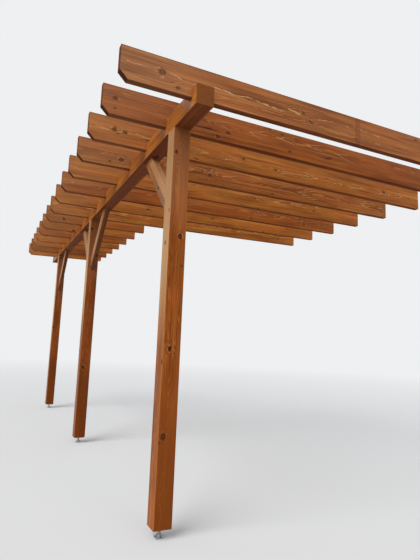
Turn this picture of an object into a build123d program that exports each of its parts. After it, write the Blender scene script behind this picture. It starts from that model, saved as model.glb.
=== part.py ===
from build123d import *
import math
import os

# Lean-to timber pergola. One row of three posts carries a long beam, and fifteen
# rafters lie across the beam and run back to the house wall.
# Millimetres. X runs along the beam, Y towards the wall, Z up.
# The origin is the centre of the middle post's base plate, on its underside.

# Timber sections
post_side = 120.0
beam_width = 120.0
beam_height = 130.0
rafter_width = 50.0
rafter_height = 210.0
brace_depth = 115.0
brace_thickness = 50.0
arris_radius = 3.0

# Setting out
bay_near = 2740.0
bay_far = 2775.0
post_length = 2580.0
beam_past_near_post = 410.0
beam_past_far_post = 830.0

# Rafters
rafter_count = 15
long_rafter_count = 8
first_rafter_inset = 88.0
last_rafter_inset = 276.0
rafter_tail = 465.0
tail_cut = 51.0
notch_depth = 61.0
notch_clearance = 0.3
rafter_rise = 0.02
wall_from_beam = 3115.0
wing_from_beam = 810.0

# Rafters as fitted, by number: notch cut deeper than drawn, and wall end lower than drawn
notch_extra = {1: 5.0, 2: 2.0, 3: -4.0, 4: -1.0, 5: -2.5, 6: 2.0, 8: 4.0}
wall_end_drop = {1: 7.0, 2: 10.0, 3: 11.0}

# Knee braces
brace_reach = 625.0

# Adjustable post feet
base_plate_side = 50.0
base_plate_thickness = 6.0
anchor_hole_diameter = 6.6
anchor_hole_spacing = 36.0
rod_diameter = 20.0
rod_into_post = 90.0
rod_end_gap = 5.0
rod_bore_clearance = 0.5
nut_across_flats = 30.0
nut_height = 16.0
thread_clearance = 0.1
head_plate_side = 90.0
head_plate_thickness = 6.0
head_screw_hole_diameter = 8.0
head_screw_hole_spacing = 60.0
foot_height = 62.0

# Places that follow from the sizes above
beam_underside = foot_height + post_length
beam_top = beam_underside + beam_height
beam_front = -beam_width / 2
near_post_x = bay_near
far_post_x = -bay_far
beam_near_end = near_post_x + beam_past_near_post
beam_far_end = far_post_x - beam_past_far_post
beam_length = beam_near_end - beam_far_end
rafter_pitch = (beam_length - first_rafter_inset - last_rafter_inset) / (rafter_count - 1)
posts = {"near": near_post_x, "middle": 0.0, "far": far_post_x}

# Each brace stands on the side of its post that faces the next bay
braces = [("near", -1), ("middle", 1), ("middle", -1), ("far", 1)]

os.makedirs("parts", exist_ok=True)


def save(shape, node):
    shape.label = node
    export_step(shape, f"parts/{node}.step")


# Every sawn arris is eased by the same radius
def ease(edges):
    return fillet(edges, arris_radius)


def along(solid, axis):
    return solid.edges().filter_by(axis)


# Posts: square sections with eased arrises, bored from below for the foot's rod
def make_post(x):
    middle_z = foot_height + post_length / 2
    post = Pos(x, 0, middle_z) * Box(post_side, post_side, post_length)
    post = ease(along(post, Axis.Z))
    bore_radius = rod_diameter / 2 + rod_bore_clearance
    bore = Cylinder(bore_radius, rod_into_post, align=(Align.CENTER, Align.CENTER, Align.MIN))
    return post - Pos(x, 0, foot_height) * bore


# Beam: one long timber on top of the posts
def make_beam():
    middle_x = (beam_near_end + beam_far_end) / 2
    beam = Box(beam_length, beam_width, beam_height)
    beam = Pos(middle_x, 0, beam_underside + beam_height / 2) * beam
    return ease(along(beam, Axis.X))


# A rafter's slope: the boards rise gently to the wall
def rafter_slope(number):
    return rafter_rise - wall_end_drop.get(number, 0.0) / wall_from_beam


# Heights of a rafter's underside and top at a place along Y
def rafter_bottom(number, y):
    seat = beam_top - notch_depth - notch_extra.get(number, 0.0)
    return seat + rafter_slope(number) * (y - beam_front)


def rafter_top(number, y):
    return rafter_bottom(number, y) + rafter_height * math.hypot(1, rafter_slope(number))


# Rafter: a board on edge with its tail cut off at 45 degrees and its ends plumb,
# notched to sit down over the beam
def make_rafter(number, x, wall_y):
    tail_y = beam_front - rafter_tail
    outline = Polyline(
        (tail_y + tail_cut, rafter_bottom(number, tail_y + tail_cut)),
        (wall_y, rafter_bottom(number, wall_y)),
        (wall_y, rafter_top(number, wall_y)),
        (tail_y, rafter_top(number, tail_y)),
        (tail_y, rafter_bottom(number, tail_y) + tail_cut),
        close=True,
    )
    board = extrude(Plane.YZ * make_face(outline), rafter_width / 2, both=True)
    rims = board.edges().filter_by(Axis.X, reverse=True)
    rims = rims.filter_by_position(Axis.Y, tail_y - 1, wall_y - 1)
    board = ease(rims)
    notch_width = beam_width + 2 * notch_clearance
    notch = Pos(0, 0, beam_top - beam_height) * Box(
        2 * rafter_width, notch_width, beam_height, align=(Align.CENTER, Align.CENTER, Align.MIN)
    )
    return Pos(x, 0, 0) * (board - notch)


# Knee brace: set at 45 degrees between the post's face and the beam's underside,
# mitred to bear flat on both
def make_brace(post_x, side):
    corner_x = post_x + side * post_side / 2
    inner = brace_reach - brace_depth * math.sqrt(2)
    outline = Polyline(
        (corner_x + side * inner, beam_underside),
        (corner_x + side * brace_reach, beam_underside),
        (corner_x, beam_underside - brace_reach),
        (corner_x, beam_underside - inner),
        close=True,
    )
    brace = extrude(Plane.XZ * make_face(outline), brace_thickness / 2, both=True)
    long_edges = brace.edges().filter_by(is_slanted)
    return ease(long_edges)


def is_slanted(edge):
    direction = edge.tangent_at(0.5)
    return abs(direction.X) > 0.5 and abs(direction.Z) > 0.5


# Post foot, lower part: base plate with four anchor holes and a rod welded upright
def make_base(x):
    plate = Box(
        base_plate_side, base_plate_side, base_plate_thickness, align=(Align.CENTER, Align.CENTER, Align.MIN)
    )
    spots = GridLocations(anchor_hole_spacing, anchor_hole_spacing, 2, 2)
    plate -= spots * Cylinder(anchor_hole_diameter / 2, 4 * base_plate_thickness)
    rod_length = foot_height + rod_into_post - rod_end_gap
    rod = Cylinder(rod_diameter / 2, rod_length, align=(Align.CENTER, Align.CENTER, Align.MIN))
    return Pos(x, 0, 0) * (plate + rod)


# Post foot, nut: tight on the base plate, with its corners taken off at 30 degrees
def make_nut(x):
    corner_radius = nut_across_flats / math.sqrt(3)
    inset = corner_radius - nut_across_flats / 2
    drop = inset * math.tan(math.radians(30))
    blank = extrude(RegularPolygon(corner_radius, 6, major_radius=False, rotation=30), nut_height)
    for end in (0, -1):
        rim = blank.faces().sort_by(Axis.Z)[end]
        blank = chamfer(rim.edges(), inset, drop, reference=rim)
    nut = extrude(RegularPolygon(nut_across_flats / 2, 6, major_radius=False), nut_height)
    nut &= blank
    nut -= Cylinder(rod_diameter / 2 + thread_clearance, 4 * nut_height)
    return Pos(x, 0, base_plate_thickness) * nut


# Post foot, head plate: screwed to the post's end grain, and turned on the rod to set the post's height
def make_head_plate(x):
    plate = Box(
        head_plate_side, head_plate_side, head_plate_thickness, align=(Align.CENTER, Align.CENTER, Align.MIN)
    )
    plate -= Cylinder(rod_diameter / 2 + thread_clearance, 4 * head_plate_thickness)
    spots = GridLocations(head_screw_hole_spacing, head_screw_hole_spacing, 2, 2)
    plate -= spots * Cylinder(head_screw_hole_diameter / 2, 4 * head_plate_thickness)
    return Pos(x, 0, foot_height - head_plate_thickness) * plate


save(make_beam(), "front_beam")

for place, x in posts.items():
    save(make_post(x), f"post_{place}")
    save(make_base(x), f"foot_base_{place}")
    save(make_nut(x), f"foot_nut_{place}")
    save(make_head_plate(x), f"foot_head_plate_{place}")

for place, side in braces:
    towards = "near" if side > 0 else "far"
    save(make_brace(posts[place], side), f"knee_brace_{place}_post_{towards}_side")

for number in range(1, rafter_count + 1):
    x = beam_near_end - first_rafter_inset - (number - 1) * rafter_pitch
    wall_y = wall_from_beam if number <= long_rafter_count else wing_from_beam
    save(make_rafter(number, x, wall_y), f"rafter_{number:02d}")
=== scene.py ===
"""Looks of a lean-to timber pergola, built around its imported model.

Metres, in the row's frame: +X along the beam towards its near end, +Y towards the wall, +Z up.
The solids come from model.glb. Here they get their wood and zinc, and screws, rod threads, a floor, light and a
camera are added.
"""

import math
import random
from dataclasses import dataclass
from types import SimpleNamespace

import bmesh
import bpy
from mathutils import Matrix, Vector


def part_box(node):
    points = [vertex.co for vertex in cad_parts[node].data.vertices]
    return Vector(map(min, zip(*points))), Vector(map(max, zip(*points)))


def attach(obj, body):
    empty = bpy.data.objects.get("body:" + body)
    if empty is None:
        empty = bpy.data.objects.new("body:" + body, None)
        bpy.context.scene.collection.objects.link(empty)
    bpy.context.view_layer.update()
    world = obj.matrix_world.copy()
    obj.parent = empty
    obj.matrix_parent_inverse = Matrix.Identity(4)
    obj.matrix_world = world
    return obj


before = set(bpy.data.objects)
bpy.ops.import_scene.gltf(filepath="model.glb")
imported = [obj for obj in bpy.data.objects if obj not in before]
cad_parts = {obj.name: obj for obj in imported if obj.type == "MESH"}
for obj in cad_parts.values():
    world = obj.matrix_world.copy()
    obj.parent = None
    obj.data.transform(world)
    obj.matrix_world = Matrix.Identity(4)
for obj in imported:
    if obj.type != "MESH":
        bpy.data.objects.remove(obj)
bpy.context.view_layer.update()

# Sizes that the fittings and the grain share with the solids
POST_X = {"near": 2.740, "middle": 0.0, "far": -2.775}
POST_SIDE = 0.120
BEAM_WIDTH = 0.120
BEAM_HEIGHT = 0.130
BEAM_UNDERSIDE = 2.642
BRACE_REACH = 0.625
BRACE_THICKNESS = 0.050
BRACE_DEPTH = 0.115
RAFTER_COUNT = 15
RAFTER_WIDTH = 0.050
RAFTER_HEIGHT = 0.210
TAIL_CUT = 0.051
BASE_TOP = 0.006
NUT_TOP = 0.022
HEAD_PLATE_BOTTOM = 0.056
ROD_RADIUS = 0.010
ANCHOR_OFFSET = 0.018
HEAD_SCREW_OFFSET = 0.030

# Each brace's post, and the way it points along the beam
BRACES = [("near", -1), ("middle", 1), ("middle", -1), ("far", 1)]


# ---------------------------------------------------------------- node graphs
class Graph:
    """A node graph written as plain calls: a material's own, the world's, or a group that materials share."""

    def __init__(self, tree):
        self.nodes = tree.nodes
        self.links = tree.links
        self.nodes.clear()

    def feed(self, socket, value):
        if isinstance(value, bpy.types.NodeSocket):
            self.links.new(value, socket)
        elif value is not None:
            socket.default_value = (*value, 1.0) if socket.type == "RGBA" else value

    def node(self, kind, **settings):
        made = self.nodes.new(kind)
        for key, value in settings.items():
            setattr(made, key, value)
        return made

    def use(self, group, **values):
        """An instance of a shared group with its inputs fed by name."""
        made = self.node("ShaderNodeGroup", node_tree=group)
        for key, value in values.items():
            self.feed(made.inputs[key], value)
        return made.outputs

    def math(self, operation, *values):
        made = self.node("ShaderNodeMath", operation=operation)
        for socket, value in zip(made.inputs, values):
            self.feed(socket, value)
        return made.outputs[0]

    def add(self, *values):
        total = values[0]
        for value in values[1:]:
            total = self.math("ADD", total, value)
        return total

    def less(self, a, b):
        return self.math("SUBTRACT", a, b)

    def size(self, value):
        return self.math("ABSOLUTE", value)

    def times(self, *values):
        product = values[0]
        for value in values[1:]:
            product = self.math("MULTIPLY", product, value)
        return product

    def length(self, a, b):
        return self.math("SQRT", self.add(self.times(a, a), self.times(b, b)))

    def step(self, value, start, end, low=0.0, high=1.0, kind="SMOOTHSTEP"):
        """Smooth step from low at start to high at end, level beyond."""
        made = self.node("ShaderNodeMapRange", interpolation_type=kind)
        for socket, number in zip(made.inputs, (value, start, end, low, high)):
            self.feed(socket, number)
        return made.outputs[0]

    def ramp(self, value, start, end, low, high):
        """Straight ramp from low at start to high at end, level beyond."""
        return self.step(value, start, end, low, high, "LINEAR")

    def choose(self, factor, a, b):
        """The number a where the factor is 0 and b where it is 1."""
        made = self.node("ShaderNodeMix", data_type="FLOAT")
        for socket, value in zip(made.inputs[:4], (factor, None, a, b)):
            self.feed(socket, value)
        return made.outputs[0]

    def blend(self, factor, a, b):
        """The colour a where the factor is 0 and b where it is 1."""
        made = self.node("ShaderNodeMix", data_type="RGBA")
        for socket, value in zip((made.inputs[0], made.inputs[6], made.inputs[7]), (factor, a, b)):
            self.feed(socket, value)
        return made.outputs[2]

    def shade(self, tint, *factors):
        """A colour times one factor, or times one for each channel."""
        made = self.node("ShaderNodeVectorMath", operation="MULTIPLY")
        self.feed(made.inputs[0], tint)
        made.inputs[1].default_value = factors if len(factors) == 3 else factors * 3
        return made.outputs[0]

    def vector(self, x, y=0.0, z=0.0):
        made = self.node("ShaderNodeCombineXYZ")
        for socket, value in zip(made.inputs, (x, y, z)):
            self.feed(socket, value)
        return made.outputs[0]

    def along(self, vector, direction):
        """Length of a vector along a direction."""
        made = self.node("ShaderNodeVectorMath", operation="DOT_PRODUCT")
        self.feed(made.inputs[0], vector)
        self.feed(made.inputs[1], direction)
        return made.outputs["Value"]

    def noise(self, vector, detail=2.0, roughness=0.5):
        made = self.node("ShaderNodeTexNoise", noise_dimensions="3D")
        self.feed(made.inputs["Vector"], vector)
        self.feed(made.inputs["Scale"], 1.0)
        self.feed(made.inputs["Detail"], detail)
        self.feed(made.inputs["Roughness"], roughness)
        return made.outputs[0]

    def bump(self, height, distance):
        made = self.node("ShaderNodeBump")
        self.feed(made.inputs["Height"], height)
        self.feed(made.inputs["Distance"], distance)
        return made.outputs[0]

    def surface(self, base, roughness, normal, **fixed):
        shader = self.node("ShaderNodeBsdfPrincipled")
        self.feed(shader.inputs["Base Color"], base)
        self.feed(shader.inputs["Roughness"], roughness)
        self.feed(shader.inputs["Normal"], normal)
        for key, value in fixed.items():
            shader.inputs[key.replace("_", " ")].default_value = value
        output = self.node("ShaderNodeOutputMaterial")
        self.links.new(shader.outputs[0], output.inputs[0])

    def mixed_output(self, kind, factor, first, second):
        """An output node of that kind that gets two shaders, mixed."""
        mix = self.node("ShaderNodeMixShader")
        self.feed(mix.inputs[0], factor)
        self.links.new(first.outputs[0], mix.inputs[1])
        self.links.new(second.outputs[0], mix.inputs[2])
        self.links.new(mix.outputs[0], self.node(kind).inputs[0])


def material_graph(name):
    material = bpy.data.materials.new(name)
    material.use_nodes = True
    return material, Graph(material.node_tree)


def group_graph(name, floats=(), vectors=(), colours=(), outputs=()):
    """A shared group: its tree, its graph, its inputs as attributes and its outputs by name."""
    tree = bpy.data.node_groups.new(name, "ShaderNodeTree")
    for names, kind in ((floats, "Float"), (vectors, "Vector"), (colours, "Color")):
        for label in names:
            tree.interface.new_socket(label, in_out="INPUT", socket_type=f"NodeSocket{kind}")
    for label, kind in outputs:
        tree.interface.new_socket(label, in_out="OUTPUT", socket_type=f"NodeSocket{kind}")
    g = Graph(tree)
    inputs = g.node("NodeGroupInput").outputs
    given = SimpleNamespace(**{label: inputs[label] for label in (*floats, *vectors, *colours)})
    return tree, g, given, g.node("NodeGroupOutput").inputs


# ---------------------------------------------------------------- what the timbers are like
# Stain tones, linear: soaked early wood, pale late wood, knot
TONES = {
    "brown": ((0.246, 0.074, 0.018), (0.460, 0.186, 0.055), (0.120, 0.034, 0.008)),
    "red": ((0.247, 0.061, 0.010), (0.421, 0.140, 0.027), (0.110, 0.026, 0.006)),
    "golden": ((0.292, 0.082, 0.012), (0.560, 0.225, 0.042), (0.135, 0.038, 0.007)),
    "umber": ((0.255, 0.069, 0.012), (0.510, 0.194, 0.044), (0.110, 0.030, 0.007)),
    "beam": ((0.278, 0.080, 0.013), (0.480, 0.185, 0.034), (0.070, 0.020, 0.007)),
    "post": ((0.260, 0.063, 0.010), (0.408, 0.143, 0.026), (0.055, 0.012, 0.004)),
    "dark_post": ((0.200, 0.046, 0.008), (0.315, 0.104, 0.020), (0.050, 0.011, 0.004)),
    "brace": ((0.230, 0.086, 0.024), (0.445, 0.212, 0.080), (0.070, 0.022, 0.008)),
}
RAFTER_TONES = [
    "brown", "red", "golden", "umber", "golden", "red", "golden", "golden",
    "umber", "golden", "red", "golden", "umber", "red", "golden",
]

# Tints that the stain turns to, linear; the tail and garden-side tints also stand for a painted sky reflection
UNSTAINED = (0.62, 0.38, 0.20)
CRACK = (0.02, 0.007, 0.004)
BLEACHED_TOP = (0.36, 0.205, 0.11)
# Paler rafter tails: partly weathering, partly a painted sky reflection
TAIL_BLEACH_AND_SKY_SHEEN = (0.46, 0.29, 0.17)
# Pale garden side of the posts: a painted sky reflection, with a little bleaching
GARDEN_SIDE_SKY_SHEEN = (0.46, 0.28, 0.127)
FADED_POST_TOP = (0.30, 0.14, 0.065)

# How strongly the stain reflects at a glance, by kind: the braces and the beam have the thickest coat
GLOSS = {"post": 0.04, "beam": 0.18, "brace": 0.20, "rafter": 0.12}

# Half of each section: across the timber's own v and w
HALF_SECTIONS = {
    "post": (POST_SIDE / 2, POST_SIDE / 2),
    "beam": (BEAM_WIDTH / 2, BEAM_HEIGHT / 2),
    "brace": (BRACE_THICKNESS / 2, BRACE_DEPTH / 2),
    "rafter": (RAFTER_WIDTH / 2, RAFTER_HEIGHT / 2),
}

# Faces go by number, with the sign of the way they look: 3 for those that look along v, and so the rafters'
# wide faces, and 1 for those that look along w, with -1 for a post's garden side
FACE_V = 3.0
FACE_W = 1.0

# Scattered knots: the size of the cells that may hold one each
KNOT_CELL_ALONG = 0.42
KNOT_CELL_ACROSS = 0.11
# Knots are longer than wide: what a length along the grain counts in them
KNOT_ALONG = 0.75
# Distances from a knot are in its own radii, and this one is out of its reach
NO_KNOT = 9.0
# A place along the grain that no timber reaches
NO_LAP = -9.0
# Pointed arches of the flat-sawn faces: how far apart, and how far they run along for each metre across
ARCH_SPACING = 0.30
ARCH_SLOPE = 5.5
# Which way the arches point, by rafter: the others are 1, and the first has its figure drawn line by line
LEANING = {1: 0, 3: -1, 6: -1, 9: -1, 12: -1, 15: -1}
# Where a second coat of stain overlaps the first on rafter 1
RAFTER_LAPS = {1: 0.030}
EULER = 2.718
WOOD_BUMP = 0.0005
ZINC_BUMP = 0.0002

# Knots that show on a timber: face, along, across, radius
KNOTS = {
    "front_beam": ((-1, 2.489, 0.005, 0.016),),
    "post_near": (
        (3, 1.111, -0.039, 0.010), (3, 0.533, 0.019, 0.012), (3, 0.337, 0.038, 0.005),
        (3, -0.206, -0.014, 0.011), (3, -0.744, -0.030, 0.015), (3, -0.779, -0.052, 0.005),
        (-1, 0.710, 0.036, 0.009), (-1, 0.493, -0.003, 0.012), (-1, -0.285, 0.050, 0.010),
    ),
    "rafter_01": (
        (3, -1.563, -0.004, 0.017), (3, -1.455, 0.070, 0.011), (3, -0.429, 0.039, 0.012),
        (3, -0.490, -0.012, 0.009), (3, -0.002, 0.067, 0.007),
    ),
    "rafter_02": (
        (3, -1.732, -0.012, 0.013), (3, -1.732, 0.059, 0.007), (3, -0.856, 0.031, 0.012),
        (3, -0.354, -0.074, 0.008), (3, -0.276, 0.054, 0.009),
    ),
    "rafter_03": (
        (3, -1.618, -0.024, 0.010), (3, -1.537, -0.002, 0.013), (3, -1.590, 0.020, 0.006),
        (3, -0.449, -0.012, 0.012), (3, -0.097, 0.025, 0.008),
    ),
    "rafter_05": ((3, 0.241, -0.015, 0.012), (3, 1.094, 0.007, 0.012)),
}

# Pale lines of late wood that show on a timber: face, half width, points (along, across)
LINES = {
    "rafter_01": (
        (3, 0.005, ((-1.798, -0.006), (-1.708, -0.006), (-1.627, -0.012))),
        (3, 0.004, ((-1.616, 0.012), (-1.574, 0.034), (-1.526, 0.030))),
        (3, 0.006, ((-1.524, -0.017), (-1.474, -0.006), (-1.424, 0.009), (-1.368, 0.014), (-1.287, 0.009))),
        (3, 0.006, ((-1.223, -0.006), (-1.151, -0.003), (-1.069, 0.009), (-0.997, 0.004), (-0.904, -0.012))),
        (3, 0.008, ((-0.903, -0.001), (-0.779, 0.012), (-0.658, 0.018))),
        (3, 0.010, ((-0.640, -0.012), (-0.507, 0.009))),
        (3, 0.004, ((-0.409, 0.013), (-0.203, -0.019))),
        (3, 0.004, ((-0.106, -0.023), (-0.037, 0.012))),
        (3, 0.005, ((-0.033, -0.033), (0.130, -0.013))),
        (3, 0.004, ((0.166, -0.009), (0.259, -0.003))),
    ),
    "rafter_03": (
        (3, 0.007, ((-1.750, 0.004), (-1.600, 0.008), (-1.450, -0.006), (-1.250, 0.004))),
        (3, 0.007, ((-0.110, 0.025), (0.100, 0.020), (0.277, 0.013), (0.420, 0.022))),
    ),
}


@dataclass
class Timber:
    """One sawn timber: which way it lies, and how its wood grew."""

    node: str
    kind: str
    grain: tuple
    across: tuple
    tone: str
    seed: float
    heart: tuple
    knot_share: float
    ring: float = 0.0048
    leaning: int = 0
    lap: float = NO_LAP


def rafter_rise(number):
    """How much a rafter rises per metre towards the wall."""
    low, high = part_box(f"rafter_{number:02d}")
    return (high.z - low.z - RAFTER_HEIGHT) / (high.y - low.y - TAIL_CUT)


def timber_list():
    rng = random.Random(4)
    timbers = []
    for number, place in enumerate(POST_X):
        node = f"post_{place}"
        tone = "post" if place == "near" else "dark_post"
        heart = (rng.uniform(-0.02, 0.02), rng.uniform(-0.02, 0.02))
        share = 0.0 if node in KNOTS else 0.35
        timbers.append(Timber(node, "post", (0, 0, 1), (1, 0, 0), tone, 1.3 + number, heart, share))
    timbers.append(Timber("front_beam", "beam", (1, 0, 0), (0, 1, 0), "beam", 8.6, (0.012, 0.05), 0.3))
    for number, (place, side) in enumerate(BRACES):
        towards = "near" if side > 0 else "far"
        node = f"knee_brace_{place}_post_{towards}_side"
        heart = (rng.choice((-1, 1)) * 0.05, rng.uniform(-0.03, 0.03))
        timbers.append(Timber(node, "brace", (side, 0, 1), (0, 1, 0), "brace", 12.2 + number, heart, 0.3))
    for number in range(1, RAFTER_COUNT + 1):
        node = f"rafter_{number:02d}"
        heart = (rng.choice((-1, 1)) * rng.uniform(0.035, 0.06), rng.uniform(-0.06, 0.06))
        timbers.append(
            Timber(
                node, "rafter", (0, 1, rafter_rise(number)), (1, 0, 0), RAFTER_TONES[number - 1],
                20.7 + number, heart, 0.15 if node in KNOTS else 0.4, ring=rng.uniform(0.0065, 0.0090),
                leaning=LEANING.get(number, 1), lap=RAFTER_LAPS.get(number, NO_LAP),
            )
        )
    return timbers


# ---------------------------------------------------------------- wood
# What the axes group gives: place along the grain (u), in the section (v, w) and across the face (s), the face's
# number, whether it is an end, how far it looks up, and two wavers of the grain
AXES = ("u", "v", "w", "s", "side", "on_end", "facing_up", "rough", "jag")


def grain_noise(g, p, along, across, shift, detail=2.0, roughness=0.5):
    """Noise drawn out along the grain: its scale along it and across it."""
    place = g.vector(g.times(p.u, along), g.add(g.times(p.v, across), shift), g.times(p.w, across))
    return g.noise(place, detail, roughness)


def face_noise(g, p, along, across, shift, detail):
    """Noise that differs from face to face: its scale along the grain and across the face."""
    return g.noise(g.vector(g.times(p.u, along), g.times(p.s, across), shift), detail)


def drift(g, p, along, shift, row=0.0):
    """Slow noise along the timber alone."""
    return g.noise(g.vector(g.times(p.u, along), g.times(p.seed, shift), row), 1.0)


def axes_group():
    """Place along the grain and in the section, and which face a point is on."""
    tree, g, p, result = group_graph(
        "timber_axes", ("seed",), ("centre", "grain", "across", "depth"), outputs=[(name, "Float") for name in AXES]
    )
    source = g.node("ShaderNodeTexCoord")
    place = g.node("ShaderNodeVectorMath", operation="SUBTRACT")
    g.feed(place.inputs[0], source.outputs["Object"])
    g.feed(place.inputs[1], p.centre)
    normal = source.outputs["Normal"]
    p.u, p.v, p.w = (g.along(place.outputs[0], axis) for axis in (p.grain, p.across, p.depth))
    n_u, n_v, n_w = (g.along(normal, axis) for axis in (p.grain, p.across, p.depth))
    on_v = g.math("GREATER_THAN", g.size(n_v), g.size(n_w))
    p.s = g.choose(on_v, p.v, p.w)
    p.side = g.choose(on_v, g.math("SIGN", n_w), g.times(g.math("SIGN", n_v), FACE_V))
    p.on_end = g.math("GREATER_THAN", g.size(n_u), 0.5)
    p.facing_up = g.along(normal, (0, 0, 1))
    p.rough = grain_noise(g, p, 9.0, 40.0, p.seed, 3.0, 0.6)
    p.jag = grain_noise(g, p, 24.0, 70.0, p.seed)
    for name in AXES:
        g.feed(result[name], getattr(p, name))
    return tree


def knot_group():
    """One placed knot: keeps the nearer of it and the knots before it, with its radius."""
    inputs = ("u", "s", "side", "ratio", "radius", "knot_side", "knot_u", "knot_s", "knot_radius")
    tree, g, p, result = group_graph("placed_knot", inputs, outputs=[("ratio", "Float"), ("radius", "Float")])
    off = g.length(g.times(g.less(p.u, p.knot_u), KNOT_ALONG), g.less(p.s, p.knot_s))
    wrong = g.math("GREATER_THAN", g.size(g.less(p.side, p.knot_side)), 0.5)
    near = g.choose(wrong, g.math("DIVIDE", off, p.knot_radius), NO_KNOT)
    nearer = g.math("LESS_THAN", near, p.ratio)
    g.feed(result["radius"], g.choose(nearer, p.radius, p.knot_radius))
    g.feed(result["ratio"], g.math("MINIMUM", near, p.ratio))
    return tree


def line_group():
    """A pale wavering line of late wood with a painted shadow along one side, that keeps to a given height on one
    face.
    """
    inputs = ("u", "s", "side", "rough", "jag", "follow", "width", "start", "end", "line_side", "before")
    tree, g, p, result = group_graph("late_wood_line", inputs, outputs=[("mark", "Float")])
    wander = g.add(g.times(p.rough, 0.020), g.times(p.jag, 0.018), -0.019)
    off = g.less(g.add(p.s, wander), p.follow)
    pale = g.step(g.size(off), g.times(p.width, 0.90), g.times(p.width, 0.45))
    # The dark band along one side is a painted shadow, as of raised grain
    beside = g.size(g.add(off, g.times(p.width, 1.3)))
    dark = g.step(beside, g.times(p.width, 0.9), g.times(p.width, 0.3))
    here = g.times(
        g.less(pale, g.times(dark, 0.6)),
        g.step(p.jag, 0.36, 0.52, 0.25, 1.0),
        g.step(p.u, p.start, g.add(p.start, 0.03)),
        g.step(p.u, p.end, g.add(p.end, -0.03)),
        g.math("LESS_THAN", g.size(g.less(p.side, p.line_side)), 0.5),
    )
    g.feed(result["mark"], g.add(here, p.before))
    return tree


# The steps of the wood group. Each gets the graph g and p, which holds what the group is given
# and what the steps before have worked out.
def scattered_knots(g, p):
    """Knots scattered over each face: distance to the nearest in its radii, and its radius."""
    voronoi = g.node("ShaderNodeTexVoronoi", voronoi_dimensions="2D", feature="F1")
    voronoi.inputs["Scale"].default_value = 1.0
    offset = g.times(g.add(p.side, g.times(p.seed, 1.37)), 17.31)
    cell_u = g.add(g.times(p.u, 1 / KNOT_CELL_ALONG), offset)
    cell_s = g.add(g.times(p.s, 1 / KNOT_CELL_ACROSS), g.times(offset, 0.713))
    g.feed(voronoi.inputs["Vector"], g.vector(cell_u, cell_s))
    centre = g.node("ShaderNodeSeparateXYZ")
    g.feed(centre.inputs[0], voronoi.outputs["Position"])
    picks = g.node("ShaderNodeSeparateColor")
    g.feed(picks.inputs[0], voronoi.outputs["Color"])
    du = g.times(g.less(cell_u, centre.outputs[0]), KNOT_CELL_ALONG * KNOT_ALONG)
    ds = g.times(g.less(cell_s, centre.outputs[1]), KNOT_CELL_ACROSS)
    radius = g.step(picks.outputs[1], 0.0, 1.0, 0.006, 0.017)
    kept = g.math("LESS_THAN", picks.outputs[0], p.knot_share)
    return g.choose(kept, NO_KNOT, g.math("DIVIDE", g.length(du, ds), radius)), radius


def find_knots(g, p):
    """The nearest knot, listed or scattered, and how the rings bulge round it."""
    p.wobble = grain_noise(g, p, 45.0, 70.0, p.seed)
    p.grit = grain_noise(g, p, 110.0, 150.0, p.seed, 1.0)
    ratio, radius = scattered_knots(g, p)
    placed = g.math("LESS_THAN", p.knot_ratio, ratio)
    p.radius = g.choose(placed, radius, p.knot_radius)
    ratio = g.math("MINIMUM", ratio, p.knot_ratio)
    p.bulge = g.times(g.math("POWER", EULER, g.times(ratio, ratio, -0.13)), p.radius, 1.1)
    p.ratio = g.times(ratio, g.add(0.45, g.times(p.wobble, 1.10)))


def cut_rings(g, p):
    """Rings by their distance from a heart line that wanders along the timber."""
    sway = drift(g, p, 0.9, 3.1)
    dip = drift(g, p, 1.1, 5.3, 7.0)
    swirl = grain_noise(g, p, 2.3, 15.0, g.times(p.seed, 9.0), 1.0)
    off_v = g.add(g.less(p.v, p.heart_v), g.times(g.less(sway, 0.5), 0.07))
    p.off_w = g.add(g.less(p.w, p.heart_w), g.times(g.less(dip, 0.5), 0.09))
    from_heart = g.add(
        g.length(off_v, p.off_w), g.times(p.rough, 0.006), g.times(p.jag, 0.0015), g.times(swirl, 0.045), p.bulge
    )
    phase = g.math("FRACT", g.math("DIVIDE", from_heart, p.ring))
    p.late_wood = g.times(g.step(phase, 0.45, 0.75), g.step(phase, 1.0, 0.90))
    p.shadow_line = g.times(g.step(phase, 0.88, 0.95), g.step(phase, 1.0, 0.97))


def cut_arches(g, p):
    """Flat-sawn figure: pointed arches that follow the heart along the rafters' wide faces."""
    off = g.size(p.off_w)
    place = g.add(
        g.times(p.u, p.leaning), g.times(off, -ARCH_SLOPE), g.times(p.rough, 0.16), g.times(p.jag, 0.06)
    )
    arch = g.math("FRACT", g.math("DIVIDE", place, ARCH_SPACING))
    on_wide_face = g.math("GREATER_THAN", g.size(p.side), (FACE_V + FACE_W) / 2)
    here = g.times(
        g.step(drift(g, p, 1.5, 4.7), 0.44, 0.56), g.step(off, 0.042, 0.016), g.size(p.leaning),
        on_wide_face, p.off_end,
    )
    p.arch_light = g.times(here, g.step(arch, 0.0, 0.03), g.step(arch, 0.16, 0.08))
    p.arch_dark = g.times(here, g.step(arch, 0.10, 0.16), g.step(arch, 0.32, 0.20))


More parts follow.
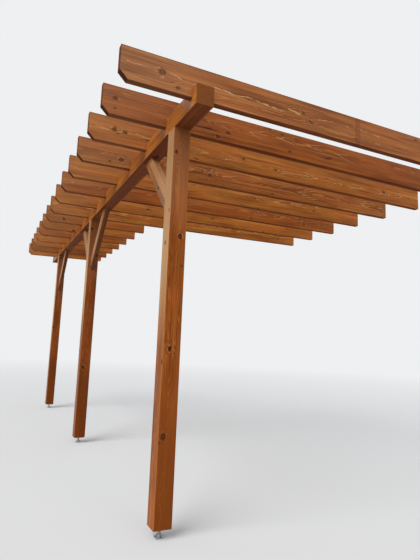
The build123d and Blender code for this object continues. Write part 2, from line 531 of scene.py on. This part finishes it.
def stain(g, p):
    """Streaks along the grain, blotches where the stain took unevenly, and the figure, bold in places."""
    p.fine = grain_noise(g, p, 3.0, 190.0, p.seed, 3.0, 0.6)
    p.streak = grain_noise(g, p, 1.3, 42.0, g.times(p.seed, 2.0))
    p.blotch = face_noise(g, p, 1.6, 9.0, g.add(p.side, p.seed), 3.0)
    bold = face_noise(g, p, 2.2, 16.0, g.add(p.side, g.times(p.seed, 3.0)), 1.0)
    bold = g.math("MAXIMUM", g.step(bold, 0.37, 0.57), g.times(g.step(p.ratio, 3.5, 1.5), 0.6))
    p.bold = g.times(bold, g.choose(p.is_post, 1.0, 0.55), g.choose(p.is_rafter, 1.0, 0.75))
    p.pale = g.blend(0.5, p.late, UNSTAINED)

    base = g.blend(g.step(p.blotch, 0.36, 0.64), g.shade(p.early, 0.76), g.shade(p.early, 1.30))
    base = g.blend(g.times(p.late_wood, g.add(0.25, g.times(p.bold, 0.75))), base, p.late)
    base = g.blend(g.step(p.streak, 0.56, 0.70, 0.0, 0.6), base, p.late)
    base = g.blend(g.step(p.streak, 0.43, 0.28, 0.0, 0.6), base, g.shade(p.early, 0.60, 0.46, 0.50))
    base = g.blend(g.step(p.fine, 0.42, 0.70, 0.0, 0.4), base, g.shade(p.early, 0.66, 0.54, 0.55))
    base = g.blend(g.times(p.shadow_line, p.bold, 0.65), base, g.shade(p.early, 0.4))
    base = g.blend(g.times(p.arch_light, 0.6), base, p.pale)
    base = g.blend(g.times(p.arch_dark, 0.45), base, g.shade(p.early, 0.5))
    base = g.blend(g.step(p.drawn, 0.0, 1.0, 0.0, 0.8), base, p.pale)
    # Where the drawn lines are negative: their painted shadow
    return g.blend(g.step(p.drawn, 0.0, -1.0, 0.0, 0.8), base, g.shade(p.early, 0.45))


def paint_lap(g, p, base):
    """Where two coats of stain lapped: a darker band right across the timber."""
    from_lap = g.size(g.add(g.less(p.u, p.lap), g.times(p.rough, 0.02)))
    return g.blend(g.step(from_lap, 0.036, 0.016, 0.0, 0.45), base, g.shade(p.early, 0.62, 0.52, 0.52))


def paint_knots(g, p, base):
    """Knots: a broken dark rim round a red-brown heart with rings of its own, and a painted highlight of pale wood
    beside it.
    """
    p.inside = g.step(p.ratio, 1.15, 0.75)
    p.rim = g.times(g.step(p.ratio, 0.5, 0.95), g.step(p.ratio, 1.5, 1.05), g.step(p.wobble, 0.38, 0.6))
    rings = g.math("SINE", g.add(g.times(p.ratio, 13.0), g.times(p.rough, 9.0)))
    tint = g.blend(g.step(rings, -1.0, 1.0), p.knot, g.shade(p.early, 0.55))
    boldness = g.choose(p.is_rafter, 0.9, 0.60)
    rot = g.times(g.step(p.ratio, 1.25, 0.6), g.step(p.grit, 0.48, 0.58), boldness)
    # A pale crescent beside each knot: a painted highlight
    crescent_highlight = g.times(g.step(p.ratio, 0.9, 1.15), g.step(p.ratio, 2.0, 1.4), g.step(p.wobble, 0.50, 0.42))

    base = g.blend(g.step(p.ratio, 3.2, 1.0, 0.0, 0.35), base, g.shade(p.early, 0.60))
    base = g.blend(g.times(p.inside, boldness, g.step(p.grit, 0.36, 0.5, 0.55, 1.0)), base, tint)
    base = g.blend(g.times(p.rim, boldness), base, g.shade(p.knot, 0.25))
    base = g.blend(g.times(rot, 0.9), base, g.shade(p.knot, 0.18))
    return g.blend(g.times(crescent_highlight, g.step(p.radius, 0.006, 0.016, 0.10, 0.45)), base, p.pale)


def paint_checks(g, p, base):
    """Drying checks: rare thin cracks along the grain."""
    ridge = face_noise(g, p, 0.9, 26.0, g.add(g.times(p.side, 4.1), p.seed), 1.0)
    patch = face_noise(g, p, 1.7, 9.0, g.add(p.side, g.times(p.seed, 8.3)), 0.0)
    line = g.step(g.size(g.less(ridge, 0.5)), 0.010, 0.003)
    p.crack = g.times(line, g.step(patch, 0.70, 0.75), p.off_end)
    return g.blend(g.times(p.crack, 0.85), base, CRACK)


def paint_weather_and_shade(g, p, base):
    """Faces turned up are bleached; faces turned down keep the dark fresh stain, deepened as painted shade; end
    grain has drunk more.
    """
    p.on_top = g.step(p.facing_up, 0.3, 0.8)
    p.shelter = g.step(p.facing_up, -0.35, -0.8)
    # Faces turned down: unbleached stain, darkened and reddened further as painted shade
    fresh_stain_and_shade = g.shade(p.early, 0.47, 0.26, 0.20)
    soaked = g.blend(p.is_rafter, g.shade(p.early, 0.50), g.shade(p.early, 0.22))
    base = g.blend(g.times(p.on_top, g.step(p.streak, 0.3, 0.7, 0.30, 0.55)), base, BLEACHED_TOP)
    base = g.blend(g.times(p.shelter, g.step(p.streak, 0.3, 0.7, 0.82, 0.6)), base, fresh_stain_and_shade)
    return g.blend(g.times(p.on_end, 0.83), base, soaked)


def paint_sheen_and_post_tones(g, p, base):
    """Paler rafter tails, and posts pale on the garden side high up and dark lower down, not on their knots; the
    paleness is a painted sky reflection with some bleaching.
    """
    clear = g.less(1.0, g.times(g.math("MAXIMUM", p.inside, p.rim), 0.8))
    from_tail = g.add(p.u, p.half_u, g.times(p.blotch, 0.4))
    tail = g.times(p.is_rafter, g.step(from_tail, 1.1, 0.3, 0.0, 0.13), p.off_end, clear)
    garden = g.times(p.is_post, g.math("COMPARE", p.side, -FACE_W, 0.1))
    high_up = g.add(p.u, g.times(p.blotch, 0.5))
    faded = g.times(p.is_post, clear, g.step(high_up, 0.6, 1.2, 0.0, 0.35))
    low_down = g.times(p.is_post, g.less(1.0, garden), clear, g.step(high_up, 0.0, -0.5, 0.0, 0.72))

    # Rafter tails paler: some bleaching, and a painted sky reflection
    base = g.blend(tail, base, TAIL_BLEACH_AND_SKY_SHEEN)
    # Garden side of the posts: a painted sky reflection, paler higher up
    garden_sheen = g.times(garden, g.step(high_up, -0.10, 0.70, 0.06, 0.82), clear)
    base = g.blend(garden_sheen, base, GARDEN_SIDE_SKY_SHEEN)
    base = g.blend(faded, base, FADED_POST_TOP)
    return g.blend(low_down, base, g.shade(p.early, 0.62))


def paint_arrises(g, p, base):
    """Arrises: pale, partly rubbed and partly a painted highlight; along the tops of the rafters' sides, where w is
    lowest, darkened as painted shade.
    """
    from_v = g.less(p.half_v, g.size(p.v))
    from_w = g.less(p.half_w, g.size(p.w))
    # Pale arrises: partly worn, partly a painted highlight where the rounded edge catches the sky
    rubbed_arris_highlight = g.step(g.add(from_v, from_w, g.times(p.wobble, 0.002)), 0.0045, 0.0022, 0.0, 0.6)
    rubbed_arris_highlight = g.times(rubbed_arris_highlight, g.less(1.0, p.is_rafter))
    # Painted shade along the upper band of each rafter's sides, where the gap between rafters lies in shade
    rafter_top_shade = g.times(p.is_rafter, g.step(p.w, -0.094, -0.103), g.step(p.wobble, 0.2, 0.6, 0.4, 0.8))
    rafter_top_shade = g.times(rafter_top_shade, g.step(p.on_top, 1.0, 0.0, 0.15, 1.0))
    base = g.blend(rubbed_arris_highlight, base, g.shade(p.late, 1.15))
    return g.blend(rafter_top_shade, base, g.shade(p.early, 0.25))


def wood_group():
    """Stained softwood: rings cut by each face, streaks, knots, drying checks, and arrises worn pale with a painted
    highlight and shade.
    """
    own_values = (
        "seed", "heart_v", "heart_w", "half_u", "half_v", "half_w", "ring", "knot_share",
        "knot_ratio", "knot_radius", "drawn", "lap", "leaning", "is_rafter", "is_post",
    )
    tree, g, p, result = group_graph(
        "stained_softwood", AXES + own_values, colours=("early", "late", "knot"),
        outputs=[("base", "Color"), ("roughness", "Float"), ("height", "Float")],
    )
    p.off_end = g.less(1.0, p.on_end)
    find_knots(g, p)
    cut_rings(g, p)
    cut_arches(g, p)
    base = stain(g, p)
    for paint in (paint_lap, paint_knots, paint_checks, paint_weather_and_shade, paint_sheen_and_post_tones, paint_arrises):
        base = paint(g, p, base)
    gloss = g.add(p.fine, g.times(p.late_wood, -0.25), p.on_end, g.times(p.bold, -0.1), p.shelter)
    height = g.add(
        g.times(p.late_wood, 0.30), g.times(p.fine, 0.35), g.times(p.crack, -3.0),
        g.times(p.inside, 0.5), g.times(p.rim, -0.6), g.times(p.rough, 0.3),
    )
    g.feed(result["base"], base)
    g.feed(result["roughness"], g.step(gloss, 0.1, 1.3, 0.30, 0.85))
    g.feed(result["height"], height)
    return tree


def timber_material(timber, groups):
    """One timber's material: its axes, its own knots and lines, and the shared wood."""
    material, g = material_graph(f"timber_{timber.node}")
    low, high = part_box(timber.node)
    grain = Vector(timber.grain).normalized()
    across = Vector(timber.across).normalized()
    depth = grain.cross(across).normalized()
    axes = g.use(
        groups["axes"], seed=timber.seed, centre=(low + high) / 2, grain=grain, across=across, depth=depth
    )
    u, s, side, rough = axes["u"], axes["s"], axes["side"], axes["rough"]

    ratio, radius = NO_KNOT, 0.01
    for knot_side, knot_u, knot_s, knot_radius in KNOTS.get(timber.node, ()):
        nearest = g.use(
            groups["knot"], u=u, s=s, side=side, ratio=ratio, radius=radius,
            knot_side=knot_side, knot_u=knot_u, knot_s=knot_s, knot_radius=knot_radius,
        )
        ratio, radius = nearest["ratio"], nearest["radius"]

    drawn = 0.0
    for line_side, width, points in LINES.get(timber.node, ()):
        follow = points[0][1]
        for (u0, s0), (u1, s1) in zip(points, points[1:]):
            follow = g.add(follow, g.ramp(u, u0, u1, 0.0, s1 - s0))
        drawn = g.use(
            groups["line"], u=u, s=s, side=side, rough=rough, jag=axes["jag"], follow=follow, width=width,
            start=points[0][0], end=points[-1][0], line_side=line_side, before=drawn,
        )["mark"]

    heart_v, heart_w = timber.heart
    half_v, half_w = HALF_SECTIONS[timber.kind]
    early, late, knot = TONES[timber.tone]
    wood = g.use(
        groups["wood"], **{name: axes[name] for name in AXES},
        seed=timber.seed, heart_v=heart_v, heart_w=heart_w, ring=timber.ring, leaning=timber.leaning,
        half_u=abs((high - low).dot(grain)) / 2, half_v=half_v, half_w=half_w,
        knot_share=timber.knot_share, knot_ratio=ratio, knot_radius=radius, drawn=drawn, lap=timber.lap,
        is_rafter=float(timber.kind == "rafter"), is_post=float(timber.kind == "post"),
        early=early, late=late, knot=knot,
    )
    bump = g.bump(wood["height"], WOOD_BUMP)
    g.surface(wood["base"], wood["roughness"], bump, Specular_IOR_Level=GLOSS[timber.kind])
    return material


# ---------------------------------------------------------------- steel
ZINC_BLOOM = (0.42, 0.42, 0.41)
DIRT = (0.13, 0.12, 0.11)


def steel_material(name, tint, roughness):
    """Dull galvanised steel: zinc flowers, grey bloom and a little dirt."""
    material, g = material_graph(name)
    place = g.node("ShaderNodeTexCoord").outputs["Object"]
    flowers = g.node("ShaderNodeTexVoronoi", feature="F1")
    flowers.inputs["Scale"].default_value = 190.0
    g.feed(flowers.inputs["Vector"], place)
    flake = g.node("ShaderNodeSeparateColor")
    g.feed(flake.inputs[0], flowers.outputs["Color"])
    scaled = g.node("ShaderNodeVectorMath", operation="SCALE")
    g.feed(scaled.inputs[0], place)
    scaled.inputs["Scale"].default_value = 60.0
    bloom = g.noise(scaled.outputs[0], 4.0, 0.6)
    base = g.blend(flake.outputs[0], tuple(0.8 * c for c in tint), tint)
    base = g.blend(g.step(bloom, 0.5, 0.75, 0.0, 0.6), base, ZINC_BLOOM)
    base = g.blend(g.step(bloom, 0.42, 0.3, 0.0, 0.45), base, DIRT)
    rough = g.step(bloom, 0.3, 0.7, roughness, roughness + 0.25)
    g.surface(base, rough, g.bump(bloom, ZINC_BUMP), Metallic=0.85)
    return material


# ---------------------------------------------------------------- small meshes
SMOOTH_ANGLE = math.radians(32)

# Heads of the timber screws: radius and height
HEAD_PLATE_SCREW = (0.0065, 0.0042)
RAFTER_SCREW = (0.010, 0.005)
BRACE_SCREW = (0.0075, 0.003)

# Rod thread: how far it stands out of the plain rod, pitch, depth, and segments a turn
THREAD_OUT = 0.0006
THREAD_PITCH = 0.0025
THREAD_DEPTH = 0.0009
THREAD_SEGMENTS = 28
THREAD_RUN_OUT = 10

# The four corners of a plate's screw pattern
CORNERS = ((-1, -1), (-1, 1), (1, -1), (1, 1))


def finish_mesh(name, bm, material):
    bmesh.ops.recalc_face_normals(bm, faces=bm.faces)
    mesh = bpy.data.meshes.new(name)
    bm.to_mesh(mesh)
    bm.free()
    piece = bpy.data.objects.new(name, mesh)
    bpy.context.scene.collection.objects.link(piece)
    mesh.materials.append(material)
    mesh.shade_smooth()
    mesh.set_sharp_from_angle(angle=SMOOTH_ANGLE)
    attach(piece, "root")


def turned_solid(bm, profile, segments, matrix):
    """A closed solid round +Z from (radius, height) pairs; a radius may be a function of the segment."""
    rings = []
    for radius, level in profile:
        ring = []
        for step in range(segments):
            turn = 2 * math.pi * step / segments
            r = radius(step) if callable(radius) else radius
            ring.append(bm.verts.new(matrix @ Vector((r * math.cos(turn), r * math.sin(turn), level))))
        rings.append(ring)
    for lower, upper in zip(rings, rings[1:]):
        for i in range(segments):
            j = (i + 1) % segments
            bm.faces.new((lower[i], lower[j], upper[j], upper[i]))
    bm.faces.new(list(reversed(rings[0])))
    bm.faces.new(rings[-1])


def thread(bm, start, end, matrix):
    """The rod's thread: a helical ridge that fades out at both ends and is closed there."""
    steps = int((end - start - THREAD_PITCH) / THREAD_PITCH * THREAD_SEGMENTS)
    outer = ROD_RADIUS + THREAD_OUT
    root = outer - THREAD_DEPTH
    rings = []
    for step in range(steps + 1):
        turn = 2 * math.pi * step / THREAD_SEGMENTS
        middle = start + THREAD_PITCH / 2 + THREAD_PITCH * step / THREAD_SEGMENTS
        fade = min(1.0, step / THREAD_RUN_OUT, (steps - step) / THREAD_RUN_OUT)
        crest = outer - THREAD_DEPTH + THREAD_DEPTH * fade
        # Corners of the ridge's section: radius, and height in pitches
        section = ((root, -0.46), (crest, -0.07), (crest, 0.07), (root, 0.46), (outer - 1.5 * THREAD_DEPTH, 0.0))
        ring = []
        for r, z in section:
            point = Vector((r * math.cos(turn), r * math.sin(turn), middle + z * THREAD_PITCH))
            ring.append(bm.verts.new(matrix @ point))
        rings.append(ring)
    for ring, following in zip(rings, rings[1:]):
        for i in range(len(ring)):
            j = (i + 1) % len(ring)
            bm.faces.new((ring[i], following[i], following[j], ring[j]))
    bm.faces.new(rings[0])
    bm.faces.new(list(reversed(rings[-1])))


def anchor_screw(bm, matrix):
    """The flanged hexagon head of a 6 mm anchor screw."""
    segments = 36
    flat = 0.005

    def hexagon(step):
        return flat / math.cos((2 * math.pi * step / segments) % (math.pi / 3) - math.pi / 6)

    profile = [
        (0.0030, -0.004), (0.0030, 0.0), (0.0060, 0.0), (0.0060, 0.0007), (0.0056, 0.0012),
        (hexagon, 0.0014), (hexagon, 0.0051), (lambda step: min(hexagon(step), 0.98 * flat), 0.0056),
    ]
    turned_solid(bm, profile, segments, matrix)


def torx_screw(bm, head, matrix):
    """A flange-head timber screw's head with a six-lobed recess, axis along +Z."""
    radius, height = head
    segments = 48
    recess = radius * 0.42
    lobes = [recess * (1 + 0.16 * math.cos(12 * math.pi * step / segments)) for step in range(segments)]
    profile = [
        (0.35 * radius, -0.004),
        (0.45 * radius, 0.0),
        (radius, 0.0),
        (radius, height * 0.35),
        (radius * 0.86, height * 0.55),
        (radius * 0.66, height * 0.7),
        (radius * 0.6, height),
        (lambda step: lobes[step], height),
        (lambda step: lobes[step] * 0.9, height * 0.3),
    ]
    turned_solid(bm, profile, segments, matrix)


def turned_to(point, direction, spin):
    """A placement at a point with +Z along a direction."""
    turn = Vector(direction).to_track_quat("Z", "Y").to_matrix().to_4x4()
    return Matrix.Translation(point) @ turn @ Matrix.Rotation(spin, 4, "Z")


# ---------------------------------------------------------------- fittings
def build_foot(place, x, zinc, bright, rng):
    """What stands on the base plate and under the head plate of one post's foot."""
    anchors = bmesh.new()
    for sx, sy in CORNERS:
        spot = Matrix.Translation((x + sx * ANCHOR_OFFSET, sy * ANCHOR_OFFSET, BASE_TOP))
        anchor_screw(anchors, spot @ Matrix.Rotation(rng.uniform(0, math.pi / 3), 4, "Z"))
    finish_mesh(f"anchor_screws_{place}", anchors, bright)

    helix = bmesh.new()
    thread(helix, NUT_TOP, HEAD_PLATE_BOTTOM, Matrix.Translation((x, 0, 0)))
    finish_mesh(f"rod_thread_{place}", helix, zinc)

    screws = bmesh.new()
    for sx, sy in CORNERS:
        spot = (x + sx * HEAD_SCREW_OFFSET, sy * HEAD_SCREW_OFFSET, HEAD_PLATE_BOTTOM)
        torx_screw(screws, HEAD_PLATE_SCREW, turned_to(spot, (0, 0, -1), rng.uniform(0, 1)))
    finish_mesh(f"head_screws_{place}", screws, bright)


def build_rafter_screws(bright, rng):
    """One flange-head screw through the top of each rafter into the beam."""
    bm = bmesh.new()
    for number in range(1, RAFTER_COUNT + 1):
        low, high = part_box(f"rafter_{number:02d}")
        rise = rafter_rise(number)
        x = (low.x + high.x) / 2 + rng.uniform(-0.004, 0.004)
        y = rng.uniform(-0.006, 0.006)
        top = high.z - rise * (high.y - y)
        torx_screw(bm, RAFTER_SCREW, turned_to((x, y, top), (0, -rise, 1), rng.random()))
    finish_mesh("rafter_screws", bm, bright)


def build_brace_screws(coated, rng):
    """Two screws up through each brace's lower edge: one into the post and one into the beam."""
    bm = bmesh.new()
    for place, side in BRACES:
        corner = POST_X[place] + side * POST_SIDE / 2
        outward = Vector((side, 0, -1)).normalized()
        for share in (0.10, 0.90):
            x = corner + side * BRACE_REACH * share
            z = BEAM_UNDERSIDE - BRACE_REACH * (1 - share)
            spot = (x, rng.uniform(-0.003, 0.003), z)
            torx_screw(bm, BRACE_SCREW, turned_to(spot, outward, rng.random()))
    finish_mesh("brace_screws", bm, coated)


# ---------------------------------------------------------------- stage
CAMERA_PLACE = (5.483, -1.060, 1.189)
CAMERA_YAW, CAMERA_PITCH, CAMERA_ROLL = 0.45486, 0.14197, 0.03936
CAMERA_LENS = 28.63
CAMERA_SENSOR = 36
CAMERA_REACH = 200

FLOOR_RADIUS = 60
# Distances from the middle post between which the floor turns into the background
FLOOR_FADE = (7.0, 22.0)
FLOOR = (0.40, 0.395, 0.385)
FLOOR_SEEN = (0.64, 0.64, 0.635)
BACKGROUND = (0.86, 0.87, 0.88)
SKY = (0.93, 0.96, 1.0)
SKY_STRENGTH = 0.55

# Two broad suns: name, place, target, strength and width in degrees
SUNS = (
    ("key", (3.0, -7.0, 8.0), (0, 0, 1.5), 2.7, 45),
    ("fill", (10.0, -1.0, 5.0), (0, 0, 1.0), 0.9, 60),
)


def build_camera():
    forward = Vector((
        -math.cos(CAMERA_YAW) * math.cos(CAMERA_PITCH),
        math.sin(CAMERA_YAW) * math.cos(CAMERA_PITCH),
        math.sin(CAMERA_PITCH),
    ))
    level = Vector((math.sin(CAMERA_YAW), math.cos(CAMERA_YAW), 0))
    upright = level.cross(forward)
    right = math.cos(CAMERA_ROLL) * level + math.sin(CAMERA_ROLL) * upright
    up = -math.sin(CAMERA_ROLL) * level + math.cos(CAMERA_ROLL) * upright
    data = bpy.data.cameras.new("camera")
    data.sensor_width = CAMERA_SENSOR
    data.lens = CAMERA_LENS
    data.clip_end = CAMERA_REACH
    camera = bpy.data.objects.new("camera", data)
    turn = Matrix((right, up, -forward)).transposed().to_4x4()
    camera.matrix_world = Matrix.Translation(CAMERA_PLACE) @ turn
    bpy.context.scene.collection.objects.link(camera)
    bpy.context.scene.camera = camera


def sees_background(g):
    """1 for rays that meet the pale background: the camera's own, reflected ones and those through glass."""
    path = g.node("ShaderNodeLightPath").outputs
    seen = g.math("MAXIMUM", path["Is Camera Ray"], path["Is Glossy Ray"])
    return g.math("MAXIMUM", seen, path["Is Transmission Ray"])


def build_floor():
    """A round floor that fades into the background, so that only the shadows near the pergola show."""
    bm = bmesh.new()
    bmesh.ops.create_circle(bm, cap_ends=True, segments=96, radius=FLOOR_RADIUS)
    mesh = bpy.data.meshes.new("floor")
    bm.to_mesh(mesh)
    bm.free()
    floor = bpy.data.objects.new("floor", mesh)
    bpy.context.scene.collection.objects.link(floor)
    material, g = material_graph("floor")
    place = g.node("ShaderNodeTexCoord").outputs["Object"]
    split = g.node("ShaderNodeSeparateXYZ")
    g.feed(split.inputs[0], place)
    seen = sees_background(g)
    away = g.times(seen, g.step(g.length(split.outputs[0], split.outputs[1]), *FLOOR_FADE))
    plain = g.node("ShaderNodeBsdfDiffuse")
    g.feed(plain.inputs[0], g.blend(seen, FLOOR, FLOOR_SEEN))
    far = g.node("ShaderNodeEmission")
    g.feed(far.inputs[0], BACKGROUND)
    g.mixed_output("ShaderNodeOutputMaterial", away, plain, far)
    mesh.materials.append(material)


def build_world():
    world = bpy.data.worlds.new("world")
    bpy.context.scene.world = world
    world.use_nodes = True
    g = Graph(world.node_tree)
    sky = g.node("ShaderNodeBackground")
    g.feed(sky.inputs[0], SKY)
    g.feed(sky.inputs[1], SKY_STRENGTH)
    shown = g.node("ShaderNodeBackground")
    g.feed(shown.inputs[0], BACKGROUND)
    g.mixed_output("ShaderNodeOutputWorld", sees_background(g), sky, shown)


def build_sun(name, place, target, strength, width):
    data = bpy.data.lights.new(name, "SUN")
    data.energy = strength
    data.angle = math.radians(width)
    lamp = bpy.data.objects.new(name, data)
    aim = (Vector(target) - Vector(place)).to_track_quat("-Z", "Y")
    lamp.matrix_world = Matrix.Translation(place) @ aim.to_matrix().to_4x4()
    bpy.context.scene.collection.objects.link(lamp)


# ---------------------------------------------------------------- the scene
def dress(node, material):
    """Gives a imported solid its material."""
    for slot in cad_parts[node].material_slots:
        slot.material = material


build_camera()

wood_groups = {"axes": axes_group(), "knot": knot_group(), "line": line_group(), "wood": wood_group()}
for timber in timber_list():
    dress(timber.node, timber_material(timber, wood_groups))

zinc = steel_material("zinc", (0.36, 0.37, 0.38), 0.42)
bright = steel_material("bright_zinc", (0.45, 0.46, 0.46), 0.32)
coated = steel_material("brown_coated", (0.11, 0.055, 0.025), 0.45)
for place in POST_X:
    for part in ("foot_base", "foot_nut", "foot_head_plate"):
        dress(f"{part}_{place}", zinc)

rng = random.Random(11)
for place, x in POST_X.items():
    build_foot(place, x, zinc, bright, rng)
build_rafter_screws(bright, rng)
build_brace_screws(coated, rng)

build_floor()
build_world()
for sun in SUNS:
    build_sun(*sun)
bpy.context.scene.view_settings.view_transform = "Standard"
